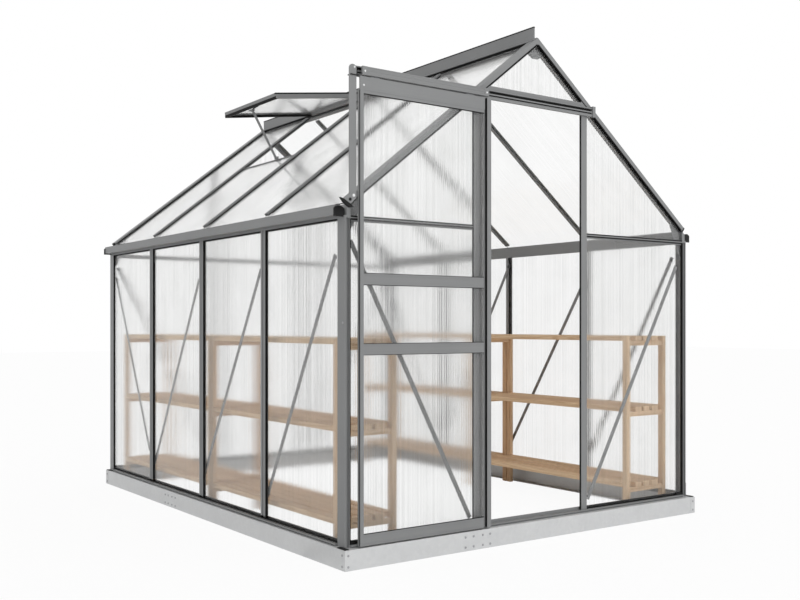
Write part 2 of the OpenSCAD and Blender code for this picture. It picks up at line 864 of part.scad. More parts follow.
module door_glazing() {
  x = [door_x + stile_l, door_x + door_w - stile_r - recess];
  y = [door_y + 7, door_y + 7 + pane_t];
  color(pane_grey) placed() {
    block(x, y, [door_rail_z[0][1], door_rail_z[1][0]]);
    block(x, y, [door_rail_z[1][1], door_rail_z[2][0]]);
    block(x, y, [door_rail_z[2][1], door_z1 - plate_h - 12]);
  }
}

// hangers behind the top plate and the cover, each with an axle and a wheel in the track
module door_rollers() {
  wheel_r = 6;
  wheel_z = track_z0 + 20.2 + wheel_r;
  y = door_y + 7;
  color(pale_grey) placed()
    for (x = [door_x + 70, door_x + door_w - 100]) {
      block([x - 20, x + 20], [y, y + 3], [door_z1 - plate_h + 6, door_z1 + 35]);
      translate([x, y + 2, wheel_z]) rotate([-90, 0, 0]) cylinder(track_y + 7 - y, 2, 2, $fn = 32);
      translate([x, track_y + 3, wheel_z]) rotate([-90, 0, 0])
        cylinder(5, wheel_r, wheel_r, $fn = 48);
    }
}

base_front_rail();
base_rear_rail();
base_left_rail();
base_right_rail();
base_joining_plates();
front_sill();
rear_sill();
side_sills();
corner_posts();
side_wall_bars();
door_jambs();
rear_gable_bars();
eave_rails();
gutters();
gutter_end_caps();
gable_eave_bars();
front_gable_rafters();
rear_gable_rafters();
left_roof_bars();
right_roof_bars();
ridge();
side_wall_glazing();
left_roof_glazing();
right_roof_glazing();
front_gable_glazing();
rear_gable_glazing();
side_wall_braces();
gable_braces();
frame_gussets();
vent_frame();
vent_glazing();
vent_sill_bar();
vent_stay();
door_header();
door_track();
track_support_post();
staging_posts();
staging_rails();
staging_shelves();
door_stiles();
door_rails();
door_top_plate();
door_top_cover();
door_glazing();
door_rollers();
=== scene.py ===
"""Looks of the apex-roof greenhouse: powder-coated bars, fluted panes, black seals, bolts,
slatted staging, studio light and camera.

The studio's floor, lamps and camera are placed in metres.
"""
import math

import bmesh
import bpy
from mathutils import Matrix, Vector


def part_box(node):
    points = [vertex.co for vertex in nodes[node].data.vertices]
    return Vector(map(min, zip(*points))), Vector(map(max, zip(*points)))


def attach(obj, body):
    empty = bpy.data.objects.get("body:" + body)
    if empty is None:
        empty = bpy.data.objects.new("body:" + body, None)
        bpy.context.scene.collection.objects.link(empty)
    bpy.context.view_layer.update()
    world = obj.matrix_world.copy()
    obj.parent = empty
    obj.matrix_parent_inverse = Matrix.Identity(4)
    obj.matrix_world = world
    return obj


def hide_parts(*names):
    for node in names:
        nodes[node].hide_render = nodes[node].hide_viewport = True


MM = 0.001
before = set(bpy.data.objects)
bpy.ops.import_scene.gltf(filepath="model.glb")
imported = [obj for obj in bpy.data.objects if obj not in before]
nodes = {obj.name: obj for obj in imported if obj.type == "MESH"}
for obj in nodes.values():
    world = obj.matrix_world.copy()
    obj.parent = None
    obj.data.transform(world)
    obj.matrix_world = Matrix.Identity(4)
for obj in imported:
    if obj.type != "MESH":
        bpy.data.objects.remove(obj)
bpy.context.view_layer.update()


# ---- measures taken from the frame ----

plate_t = 1.2                              # corner angles outside the base's rails
corner_of_base = Vector((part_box("base_left_rail")[0][0] - plate_t * MM,
                         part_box("base_front_rail")[0][1] - plate_t * MM, 0))


def box_mm(node):
    """Lowest and highest corner of a CAD node, in mm from the base's corner."""
    low, high = (Vector(corner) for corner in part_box(node))
    return (low - corner_of_base) / MM, (high - corner_of_base) / MM


base_w = box_mm("base_right_rail")[1].x + plate_t
base_l = box_mm("base_rear_rail")[1].y + plate_t
base_h = box_mm("base_front_rail")[1].z
post_low, post_high = box_mm("corner_posts")
mid_x = base_w / 2
mid_y = (post_low.y + post_high.y) / 2     # middle of the walls, a little behind the base's
side_plane = post_low.x                    # outer face of the side walls
front_plane = post_low.y                   # outer face of the front gable
post_front, post_side = 22, 50             # a corner post's faces
wall_start = post_low.y + post_side        # where the front posts' side faces end
wall_end = post_high.y - post_side         # and where the rear posts' begin
bar_cap = 10                               # how far a bar's cap stands proud of the pane
slit = 0.3                                 # gap between a seal and the pane behind it
sill_top = box_mm("front_sill")[1].z - 12  # where the panes' feet stand
apex_z = box_mm("front_gable_rafters")[1].z
roof_rise = 0.797                          # rise over run of both slopes
pitch = math.atan(roof_rise)
roof_run = 1170                            # length of a slope from the ridge line to its foot
rafter_w = 22                              # depth of a gable rafter's face


def slope(s, d):
    """x and z of a point s down the right slope from the ridge line and d below its face."""
    return (mid_x + s * math.cos(pitch) - d * math.sin(pitch),
            apex_z - s * math.sin(pitch) - d * math.cos(pitch))


def roof_z(x, d):
    """Height of the roof's face at x, lowered by d square to the slope."""
    return apex_z - roof_rise * abs(x - mid_x) - d / math.cos(pitch)


def solid_points(node):
    """The corner points of each separate solid of a CAD node, in mm from the base's corner."""
    mesh = nodes[node].data
    places = [tuple(round(value / MM, 2) for value in (vertex.co - corner_of_base))
              for vertex in mesh.vertices]
    group = {place: place for place in places}

    def root(place):
        while group[place] != place:
            group[place] = group[group[place]]
            place = group[place]
        return place

    for edge in mesh.edges:
        a, b = (root(places[i]) for i in edge.vertices)
        group[a] = b
    solids = {}
    for place in group:
        solids.setdefault(root(place), []).append(Vector(place))
    return sorted(solids.values(), key=lambda points: tuple(sum(points, Vector()) / len(points)))


def solid_boxes(node):
    """Lowest and highest corner of each separate solid of a CAD node, in mm."""
    return [(Vector([min(point[i] for point in points) for i in range(3)]),
             Vector([max(point[i] for point in points) for i in range(3)]))
            for points in solid_points(node)]


# ---- finishes ----

class Wire:
    """A socket that takes part in arithmetic: each operator adds its Math node."""

    def __init__(self, owner, socket):
        self.owner = owner
        self.socket = socket

    def _math(self, operation, *values):
        return self.owner.node("ShaderNodeMath", {"operation": operation},
                               dict(enumerate(values)))

    def __add__(self, other):
        return self._math("ADD", self, other)

    def __sub__(self, other):
        return self._math("SUBTRACT", self, other)

    def __rsub__(self, other):
        return self._math("SUBTRACT", other, self)

    def __mul__(self, other):
        return self._math("MULTIPLY", self, other)

    __radd__ = __add__
    __rmul__ = __mul__

    def sine(self):
        return self._math("SINE", self)

    def or_more(self, other):
        return self._math("MAXIMUM", self, other)


class NodeSet:
    """The nodes of a material or of the world. node() adds any of them."""

    def __init__(self, owner):
        owner.use_nodes = True
        self.tree = owner.node_tree
        self.tree.nodes.clear()

    def node(self, kind, settings=None, sockets=None, output=0):
        made = self.tree.nodes.new(kind)
        for name, value in (settings or {}).items():
            setattr(made, name, value)
        for name, value in (sockets or {}).items():
            if isinstance(value, Wire):
                self.tree.links.new(value.socket, made.inputs[name])
            else:
                made.inputs[name].default_value = value
        return Wire(self, made.outputs[output]) if made.outputs else None

    def ray(self, kind):
        """1 for rays of one kind, and 0 for all others."""
        return self.node("ShaderNodeLightPath", output=f"Is {kind} Ray")


class Finish(NodeSet):
    """One material, laid over a piece by the place of each point on it."""

    def __init__(self, name):
        self.material = bpy.data.materials.new(name)
        super().__init__(self.material)
        self.place = self.node("ShaderNodeTexCoord", output="Object")

    def vector(self, operation, sockets, output=0):
        return self.node("ShaderNodeVectorMath", {"operation": operation}, sockets, output)

    def axis(self, name):
        """One coordinate of the place, in metres."""
        return self.node("ShaderNodeSeparateXYZ", sockets={0: self.place}, output=name)

    def drawn_out(self, along, ratio):
        """The place squeezed along one direction, so that noise on it runs in streaks."""
        along = Vector(along).normalized()
        reach = self.vector("DOT_PRODUCT", {0: self.place, 1: along}, "Value")
        back = self.vector("SCALE", {0: along, "Scale": reach * (1 - 1 / ratio)})
        return self.vector("SUBTRACT", {0: self.place, 1: back})

    def noise(self, size_mm, place=None, detail=2, rough=0.5):
        """Noise from 0 to 1 whose patches are about size_mm across."""
        return self.node("ShaderNodeTexNoise", {"noise_dimensions": "3D"}, {
            "Vector": place or self.place, "Scale": 1 / (size_mm * MM), "Detail": detail,
            "Roughness": rough})

    def between(self, factor, low, high):
        """A colour between two, by a factor from 0 to 1."""
        return self.node("ShaderNodeMix", {"data_type": "RGBA"},
                         {0: factor, 6: low, 7: high}, output=2)

    def bump(self, height, depth_mm):
        """A normal for a surface whose height goes from 0 to 1 over depth_mm."""
        return self.node("ShaderNodeBump", sockets={
            "Strength": 1.0, "Distance": depth_mm * MM, "Height": height})

    def principled(self, **sockets):
        named = {name.replace("_", " "): value for name, value in sockets.items()}
        return self.node("ShaderNodeBsdfPrincipled", sockets=named)

    def close(self, shader):
        self.node("ShaderNodeOutputMaterial", sockets={"Surface": shader})
        return self.material


def rgb(red, green, blue):
    """A linear colour from display values from 0 to 255."""
    def linear(value):
        value /= 255
        return value / 12.92 if value <= 0.04045 else ((value + 0.055) / 1.055) ** 2.4
    return (linear(red), linear(green), linear(blue), 1)


def powder_coat(name, along):
    """Grey powder coat on extruded aluminium: orange peel over faint die lines along the bar."""
    coat = Finish(name)
    die_lines = coat.noise(1.6, coat.drawn_out(along, 200), detail=1)
    peel = coat.noise(1.1, detail=1)
    cloud = coat.noise(240, detail=2)
    shade = 0.55 * cloud + 0.3 * die_lines + 0.15 * peel
    return coat.close(coat.principled(
        Base_Color=coat.between(shade, rgb(120, 121, 122), rgb(142, 143, 143)),
        Roughness=0.4 + 0.16 * die_lines,
        Metallic=0.0,
        IOR=1.45,
        Normal=coat.bump(0.6 * peel + 0.4 * die_lines, 0.03)))


def galvanised_steel():
    """Zinc-dipped sheet: faint spangle and dull patches."""
    steel = Finish("galvanised_steel")
    cells = steel.node("ShaderNodeTexVoronoi", {"feature": "F1"}, {
        "Vector": steel.place, "Scale": 1 / (14 * MM), "Randomness": 1.0}, output="Color")
    spangle = steel.vector("DOT_PRODUCT", {0: cells, 1: (0.5, 0.3, 0.2)}, "Value")
    patches = steel.noise(90, detail=3)
    shade = 0.55 * patches + 0.45 * spangle
    return steel.close(steel.principled(
        Base_Color=steel.between(shade, rgb(196, 197, 198), rgb(216, 217, 217)),
        Roughness=0.42 + 0.2 * spangle,
        Metallic=0.25,
        Normal=steel.bump(0.7 * patches + 0.3 * spangle, 0.05)))


def twin_wall(name, across, rib_depth_mm, clear, haze):
    """Clear twin-wall polycarbonate: its flutes blur sideways what stands behind the pane."""
    pane = Finish(name)
    flute = 10 * MM
    ribs = 0.5 + 0.5 * (pane.axis(across) * (2 * math.pi / flute)).sine()
    squeeze = (1, 0.001, 0.001) if across == "X" else (0.001, 1, 0.001)
    upright = pane.vector("MULTIPLY", {0: pane.place, 1: squeeze})
    streaks = pane.noise(9, upright, detail=2, rough=0.7)
    bands = pane.noise(150, detail=3)
    shade = (streaks - 0.3) * (0.5 + 1.6 * bands)
    return pane.close(pane.principled(
        Base_Color=pane.between(shade, rgb(255, 255, 255), haze),
        Roughness=0.05 + 0.1 * bands,
        Transmission_Weight=clear,
        IOR=1.2,
        Normal=pane.bump(0.6 * ribs + 2 * streaks, rib_depth_mm)))


def black_rubber():
    """Black rubber seal: matt, with fine grain and dusty patches."""
    rubber = Finish("black_rubber")
    grain = rubber.noise(0.8, detail=2)
    dust = rubber.noise(60, detail=3)
    return rubber.close(rubber.principled(
        Base_Color=rubber.between(dust, rgb(6, 6, 6), rgb(18, 18, 18)),
        Roughness=0.6 + 0.2 * grain,
        Specular_IOR_Level=0.2,
        Normal=rubber.bump(grain, 0.04)))


def black_plastic():
    """Moulded black plastic: satin with a fine texture, and lighter patches of painted sheen."""
    plastic = Finish("black_plastic")
    grain = plastic.noise(0.6, detail=1)
    # painted sheen: lighter patches of the colour; the same noise also varies the roughness
    painted_sheen = plastic.noise(30, detail=2)
    return plastic.close(plastic.principled(
        Base_Color=plastic.between(painted_sheen, rgb(10, 10, 10), rgb(22, 22, 22)),
        Roughness=0.45 + 0.18 * painted_sheen,
        Specular_IOR_Level=0.25,
        Normal=plastic.bump(grain, 0.02)))


def sawn_pine(name, along):
    """Planed pine: growth rings and pores drawn out along the board, each board its own tone."""
    pine = Finish(name)
    board = pine.node("ShaderNodeNewGeometry", output="Random Per Island")
    shift = pine.node("ShaderNodeCombineXYZ", sockets={
        0: board * 3.1, 1: board * 5.3, 2: board * 4.1})

    def grain(ratio):
        return pine.vector("ADD", {0: pine.drawn_out(along, ratio), 1: shift})

    rings = 0.5 + 0.5 * (pine.noise(60, grain(26), detail=2) * 95).sine()
    pores = pine.noise(1.3, grain(60), detail=3)
    shade = 0.42 * rings * rings + 0.28 * pores + 0.3 * board
    return pine.close(pine.principled(
        Base_Color=pine.between(shade, rgb(238, 210, 175), rgb(200, 162, 124)),
        Roughness=0.58 + 0.2 * pores,
        IOR=1.4,
        Normal=pine.bump(0.5 * pores + 0.5 * rings, 0.12)))


def plated_steel(name, pale, dark, rough):
    """Plated steel of bolts, screws and rollers: turned marks and small dull spots."""
    metal = Finish(name)
    spots = metal.noise(3, detail=3)
    marks = metal.noise(0.7, detail=1)
    return metal.close(metal.principled(
        Base_Color=metal.between(spots, pale, dark),
        Roughness=rough + 0.15 * spots,
        Metallic=0.35,
        Normal=metal.bump(marks, 0.01)))


down_left = (math.cos(pitch), 0, math.sin(pitch))
down_right = (-math.cos(pitch), 0, math.sin(pitch))
coat_up = powder_coat("powder_coat_upright", (0, 0, 1))
coat_across = powder_coat("powder_coat_across", (1, 0, 0))
coat_along = powder_coat("powder_coat_along", (0, 1, 0))
coat_left = powder_coat("powder_coat_left_slope", down_left)
coat_right = powder_coat("powder_coat_right_slope", down_right)
steel = galvanised_steel()
pane_sides = twin_wall("twin_wall_sides", "Y", 0.14, 0.95, rgb(226, 227, 226))
pane_gables = twin_wall("twin_wall_gables", "X", 0.14, 0.96, rgb(226, 227, 226))
# painted light: the roof's panes get a paler tint than the walls' to make up for the shade they
# take when seen at a grazing angle
pane_roof = twin_wall("twin_wall_roof", "Y", 0.04, 0.98, rgb(242, 243, 242))
rubber = black_rubber()
plastic = black_plastic()
pine_up = sawn_pine("pine_posts", (0, 0, 1))
pine_across = sawn_pine("pine_rails", (1, 0, 0))
pine_along = sawn_pine("pine_slats", (0, 1, 0))
bright_zinc = plated_steel("bright_screws", rgb(245, 245, 245), rgb(206, 207, 208), 0.3)
zinc = plated_steel("zinc_bolts", rgb(176, 177, 179), rgb(140, 141, 143), 0.3)
dark_steel = plated_steel("dark_bolts", rgb(62, 63, 64), rgb(34, 35, 36), 0.4)
roller_metal = plated_steel("roller_metal", rgb(150, 151, 153), rgb(112, 113, 115), 0.25)

NODE_FINISH = {
    steel: ("base_front_rail", "base_rear_rail", "base_left_rail", "base_right_rail",
            "base_joining_plates"),
    coat_up: ("corner_posts", "side_wall_bars", "door_jambs", "rear_gable_bars",
              "side_wall_braces", "gable_braces", "vent_stay", "track_support_post",
              "door_stiles", "frame_gussets"),
    coat_across: ("front_sill", "rear_sill", "gable_eave_bars", "door_header", "door_track",
                  "door_rails", "door_top_plate", "door_top_cover", "vent_frame"),
    coat_along: ("side_sills", "eave_rails", "gutters", "ridge", "vent_sill_bar"),
    coat_left: ("left_roof_bars", "front_gable_rafters"),
    coat_right: ("right_roof_bars", "rear_gable_rafters"),
    pane_sides: ("side_wall_glazing",),
    pane_roof: ("left_roof_glazing", "right_roof_glazing", "vent_glazing"),
    pane_gables: ("front_gable_glazing", "rear_gable_glazing", "door_glazing"),
    plastic: ("gutter_end_caps",),
    roller_metal: ("door_rollers",),
}
for finish, names in NODE_FINISH.items():
    for name in names:
        nodes[name].data.materials.clear()
        nodes[name].data.materials.append(finish)


# ---- shapes ----

def as_made(point):
    return point


def to_right(point):
    return Vector((base_w - point.x, point.y, point.z))


def to_rear(point):
    return Vector((point.x, 2 * mid_y - point.y, point.z))


def to_rear_right(point):
    return to_rear(to_right(point))


def to_base_rear(point):
    """Turned over about the base's middle, which lies a little before the walls' middle."""
    return Vector((point.x, base_l - point.y, point.z))


def to_base_rear_right(point):
    return to_base_rear(to_right(point))


ONCE = (as_made,)
BOTH_SIDES = (as_made, to_right)
BOTH_ENDS = (as_made, to_rear)
ALL_FOUR = (as_made, to_right, to_rear, to_rear_right)
BASE_ENDS = (as_made, to_base_rear)
BASE_CORNERS = (as_made, to_right, to_base_rear, to_base_rear_right)
SHARP_TURN = math.radians(35)              # an edge that turns by more is shaded sharp


class Shape:
    """Gathers the solids of one piece in mm, and makes them one mesh."""

    def __init__(self, copies=ONCE):
        self.copies = copies
        self.verts = []
        self.faces = []

    def add(self, verts, faces):
        for copy in self.copies:
            first = len(self.verts)
            self.verts += [copy(Vector(vert)) for vert in verts]
            self.faces += [tuple(first + i for i in face) for face in faces]

    def rings(self, loops):
        """Skins loops of as many points each, and closes both ends."""
        n = len(loops[0])
        faces = [(k * n + i, k * n + (i + 1) % n, (k + 1) * n + (i + 1) % n, (k + 1) * n + i)
                 for k in range(len(loops) - 1) for i in range(n)]
        faces += [tuple(range(n)), tuple((len(loops) - 1) * n + i for i in range(n))]
        self.add([point for loop in loops for point in loop], faces)

    def prism(self, outline, axis, low, high):
        """An outline in the plane square to an axis, from low to high along it."""
        def at(u, v, w):
            return {"X": (w, u, v), "Y": (u, w, v), "Z": (u, v, w)}[axis]
        self.rings([[Vector(at(u, v, w)) for u, v in outline] for w in (low, high)])

    def turned(self, profile, centre, axis, steps=16):
        """A profile of (radius, height) turned about an axis through centre."""
        centre, axis = Vector(centre), Vector(axis).normalized()
        side = axis.orthogonal().normalized()
        other = axis.cross(side)
        angles = [2 * math.pi * i / steps for i in range(steps)]
        self.rings([[centre + axis * h + (side * math.cos(t) + other * math.sin(t)) * r
                     for t in angles] for r, h in profile])

    def rod(self, path, radius):
        """A round rod along a path of points."""
        steps = 10
        loops = []
        for i, point in enumerate(path):
            way = (path[min(i + 1, len(path) - 1)] - path[max(i - 1, 0)]).normalized()
            side = way.cross(Vector((0, 0, 1))).normalized()
            other = way.cross(side)
            loops.append([point + (side * math.cos(t) + other * math.sin(t)) * radius
                          for t in (2 * math.pi * k / steps for k in range(steps))])
        self.rings(loops)

    def board(self, low, high, round_by):
        """A planed board with rounded arrises along its longest side and eased ends."""
        steps = 3
        ease = round_by * 0.6
        size = high - low
        long = max(range(3), key=lambda i: size[i])
        u, v = [i for i in range(3) if i != long]
        loops = []
        for reach, inset in ((low[long], ease), (low[long] + ease, 0),
                             (high[long] - ease, 0), (high[long], ease)):
            ring = []
            for corner, (su, sv) in enumerate(((1, 1), (-1, 1), (-1, -1), (1, -1))):
                cu = (high[u] - round_by if su > 0 else low[u] + round_by) - su * inset
                cv = (high[v] - round_by if sv > 0 else low[v] + round_by) - sv * inset
                for k in range(steps + 1):
                    t = math.pi / 2 * (corner + k / steps)
                    point = Vector((0, 0, 0))
                    point[long] = reach
                    point[u] = cu + round_by * math.cos(t)
                    point[v] = cv + round_by * math.sin(t)
                    ring.append(point)
            loops.append(ring)
        self.rings(loops)

    def finish(self, name, material, body, slot):
        """Makes the mesh, turns its faces outwards and lets it ride on a body."""
        mesh = bpy.data.meshes.new(name)
        mesh.from_pydata([vert * MM + corner_of_base for vert in self.verts], [], self.faces)
        work = bmesh.new()
        work.from_mesh(mesh)
        bmesh.ops.recalc_face_normals(work, faces=work.faces)
        work.to_mesh(mesh)
        work.free()
        mesh.materials.append(material)
        mesh.shade_smooth()
        mesh.set_sharp_from_angle(angle=SHARP_TURN)
        made = bpy.data.objects.new(name, mesh)
        bpy.context.scene.collection.objects.link(made)
        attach(made, body)
        return made


def rectangle(u, v):
    """Outline between two places each way."""
    return [(u[0], v[0]), (u[1], v[0]), (u[1], v[1]), (u[0], v[1])]


def dome(radius, height, washer=0):
    """Profile of a pan-head bolt, with a washer of that thickness under it if asked."""
    washer_r, side, crown_r = radius * 1.45, 0.35, radius * 0.12
    rim = [(washer_r, 0), (washer_r, washer)] if washer else []
    head = [(radius, washer), (radius, washer + height * side)]
    head += [(radius * math.cos(t), washer + height * (side + (1 - side) * math.sin(t)))
             for t in (math.radians(30), math.radians(60))]
    return rim + head + [(crown_r, washer + height)]


# ---- seals of the walls ----

def wall_seals():
    """Rubber lips between the caps and the panes, beside every upright bar."""
    seal = Shape()
    pane_x = side_plane + bar_cap
    left_depth, right_depth, lip = 8, 3, 5
    for low, high in solid_boxes("side_wall_bars"):
        across = ((pane_x - left_depth, pane_x - slit) if low.x < mid_x else
                  (base_w - pane_x + right_depth, base_w - pane_x + slit))
        for y in (low.y - 3, high.y - 2):
            seal.prism(rectangle(across, (y, y + lip)), "Z", sill_top, high.z)
    seal.finish("wall_bar_seals", rubber, "greenhouse", "black_plastic")


def post_seals():
    """Rubber lips round the corner posts' two edges."""
    seal = Shape(ALL_FOUR)
    x, y = side_plane, front_plane
    edge = y + post_side
    seal.prism(rectangle((x + 2, x + bar_cap), (edge - 2, edge + 3)), "Z", sill_top, post_high.z)
    edge = x + post_front
    seal.prism([(edge - 1.5, y - 0.6), (edge + 3.5, y + 0.6), (edge + 3.5, y + bar_cap),
                (edge - 1.5, y + bar_cap)], "Z", sill_top, post_high.z)
    seal.finish("corner_post_seals", rubber, "greenhouse", "black_plastic")


def gable_bar_seals():
    """Rubber lips up to the rafters, on the jambs and on the rear gable's bars.

    The left jamb has none on its doorway side.
    """
    seal = Shape()
    lip_w, lip_d = 3.5, 7

    def lip(x, plane):
        top = min(roof_z(x, rafter_w), roof_z(x + lip_w, rafter_w))
        seal.prism(rectangle((x, x + lip_w), (plane, plane + lip_d)), "Z", sill_top, top)

    left_jamb, right_jamb = solid_boxes("door_jambs")
    for x in (left_jamb[0].x - 1.5, right_jamb[0].x - 1.5, right_jamb[1].x - 2):
        lip(x, front_plane + 3)
    for low, high in solid_boxes("rear_gable_bars"):
        for x in (low.x - 1.5, high.x - 2):
            lip(x, 2 * mid_y - front_plane - bar_cap)
    seal.finish("gable_bar_seals", rubber, "greenhouse", "black_plastic")


def sill_seals():
    """Rubber lips that close the panes' feet along the sills."""
    def lip(plane):
        return [(plane + 2, sill_top), (plane + bar_cap, sill_top),
                (plane + bar_cap, sill_top + 4), (plane + 4, sill_top + 3)]

    seal = Shape(BOTH_SIDES)
    seal.prism(lip(side_plane), "Y", wall_start, wall_end)
    seal.copies = BOTH_ENDS
    left_jamb, right_jamb = solid_boxes("door_jambs")
    seal.prism(lip(front_plane), "X", side_plane + post_front, left_jamb[0].x)
    seal.prism(lip(front_plane), "X", right_jamb[1].x, base_w - side_plane - post_front)
    seal.finish("sill_seals", rubber, "greenhouse", "black_plastic")


def eave_seals():
    """Rubber strips over the tops of the wall panes and along the gables' eave bars."""
    seal = Shape(BOTH_SIDES)
    top = box_mm("gutters")[0].z - 9
    x = side_plane
    seal.prism([(x + 3, top - 4), (x + bar_cap, top - 5), (x + bar_cap, top), (x + 3, top)],
               "Y", wall_start, wall_end)
    seal.copies = ONCE
    lip = 5
    for low, high in solid_boxes("gable_eave_bars"):
        outer = low.y - 0.5 if low.y < mid_y else high.y - bar_cap + 1.5
        for z in (low.z + 6, high.z - 2):
            seal.prism(rectangle((outer, outer + bar_cap - 1), (z, z + lip)), "X", low.x, high.x)
    seal.finish("eave_seals", rubber, "greenhouse", "black_plastic")


# ---- seals of the roof ----

def strip_on_slope(seal, s, d, y):
    """A strip on the right slope between two distances, two depths and two places along y."""
    seal.prism([slope(a, b) for a, b in rectangle(s, d)], "Y", y[0], y[1])


def roof_seals_and_shade():
    """Rubber lips beside the roof bars' caps and beside the rafters' inner sides, and black
    strips under the ridge and along the rafters' lower front edges that stand for the shade
    there: painted shade.
    """
    seal = Shape(BOTH_SIDES)
    pane_d = bar_cap - slit
    for low, high in solid_boxes("right_roof_bars"):
        for y in (low.y - 1.6, high.y - 0.4):
            strip_on_slope(seal, (46, roof_run - 2), (6.6, pane_d), (y, y + 2))
    # painted shade: a black strip where the ridge's flange shades the panes under it
    strip_on_slope(seal, (16.5, 21), (0.2, pane_d), (wall_start + 1, wall_end - 1))
    seal.copies = ALL_FOUR
    strip_on_slope(seal, (36, roof_run - 2), (6, pane_d), (wall_start - 1.5, wall_start + 4))
    # painted shade: a black strip along each rafter's lower front edge, where its underside lies
    # in shade
    strip_on_slope(seal, (20, roof_run - 4), (rafter_w - 4, rafter_w + 0.8),
                   (front_plane - 0.6, front_plane + pane_d))
    seal.finish("roof_seals_and_shade", rubber, "greenhouse", "black_plastic")


def ridge_bead():
    """Dark bead along the top of the ridge's upright plate."""
    bead = Shape()
    top = box_mm("ridge")[1].z
    half_w, from_gable = 3.2, 22
    bead.prism(rectangle((mid_x - half_w, mid_x + half_w), (top - 4.5, top + 0.3)), "Y",
               front_plane + from_gable, post_high.y - from_gable)
    bead.finish("ridge_bead", rubber, "greenhouse", "black_plastic")


# ---- roof vent ----

vent_hinge_x, vent_hinge_z = mid_x - 20, apex_z + 6
vent_drop = math.radians(8)                # how far the open vent hangs below the level
vent_len = 528                             # from the hinge to the free edge
vent_rail_w, vent_rail_h = 14, 27


def in_vent(s, y, z):
    """A point given from the vent's hinge: s out from it, z above its upper face."""
    return Vector((vent_hinge_x - s * math.cos(vent_drop) - z * math.sin(vent_drop), y,
                   vent_hinge_z - s * math.sin(vent_drop) + z * math.cos(vent_drop)))


def vent_seals():
    """Rubber lips over the near side rail, under the free edge and under the far side rail."""
    seal = Shape()
    near, far = (corner.y for corner in box_mm("vent_frame"))
    under = -vent_rail_h - 1.5
    for s, y, z in (
            ((2, vent_len + 1), (near - 1.2, near + 9), (-6, 0.5)),
            ((vent_len - 8, vent_len + 1.2), (near + 1, far - 1), (under, -16)),
            ((2, vent_len - 1), (far - vent_rail_w - 1.2, far + 1), (under, -18.3))):
        seal.rings([[in_vent(a, b, height) for a, b in rectangle(s, y)] for height in z])
    seal.finish("vent_seals", rubber, "greenhouse", "black_plastic")


def stay_hook():
    """Bent rod with a knob, on the head of the vent's stay and under the pane."""
    hook = Shape()
    stay_end = box_mm("vent_stay")[1].y
    path = [in_vent(s, stay_end - back, z) for s, back, z in (
        (509, 20, -31), (507, 26, -28), (504, 34, -25), (502, 44, -23), (501, 58, -22.5))]
    hook.rod(path, 3.2)
    knob_r = 4.6
    knob = [(knob_r * math.sin(t), -knob_r * math.cos(t))
            for t in (math.radians(20 + 20 * i) for i in range(8))]
    hook.turned(knob, path[-1], (0, 1, 0), steps=12)
    hook.finish("stay_hook", dark_steel, "greenhouse", "roller_metal")


# ---- bolts and fittings ----

def base_bolts():
    """Bolt heads on the corner angles and over the splices of the base."""
    bolt = Shape(BASE_CORNERS)
    head_r = 4.6
    head, flat_head = dome(head_r, 2.6), dome(head_r, 1.6)
    for z in (15, 55):
        bolt.turned(flat_head, (14, 0, z), (0, -1, 0))
        bolt.turned(head, (0, 19, z), (-1, 0, 0))
    front_splice, side_splice = 604.5, 1600
    steps = (-61.5, -21.5, 24.5, 61.5)
    bolt.copies = BASE_ENDS
    for z in (15, 54):
        for step in steps:
            bolt.turned(head, (front_splice + step, plate_t, z), (0, -1, 0))
    bolt.copies = BOTH_SIDES
    for z in (14, 52):
        for step in steps:
            bolt.turned(head, (plate_t, side_splice + step, z), (-1, 0, 0))
    bolt.finish("base_bolts", zinc, "greenhouse", "roller_metal")


def brace_bolts():
    """Dark bolts through the ends of the braces, with washers, on the inside."""
    bolt = Shape()
    from_end, to_face = 12, 1.5
    head = dome(6.5, 5, 1.2)
    for node, axis in (("side_wall_braces", 0), ("gable_braces", 1)):
        for points in solid_points(node):
            points = sorted(points, key=lambda point: point.z)
            low, high = sum(points[:4], Vector()) / 4, sum(points[-4:], Vector()) / 4
            way = (high - low).normalized()
            inward = Vector((0, 0, 0))
            inward[axis] = 1 if low[axis] < (mid_x, mid_y)[axis] else -1
            for end in (low + way * from_end, high - way * from_end):
                bolt.turned(head, end + inward * to_face, inward, steps=12)
    bolt.finish("brace_bolts", dark_steel, "greenhouse", "roller_metal")


def rafter_foot_caps():
    """Black moulded caps over the ends of the gable rafters."""
    cap = Shape(ALL_FOUR)
    start, end = roof_run + 0.2, roof_run + 7
    outline = ((start, -1), (end, 1), (end, rafter_w), (start, rafter_w + 2))
    cap.prism([slope(s, d) for s, d in outline], "Y", front_plane - 1, front_plane + 22)
    cap.finish("rafter_foot_caps", plastic, "greenhouse", "black_plastic")


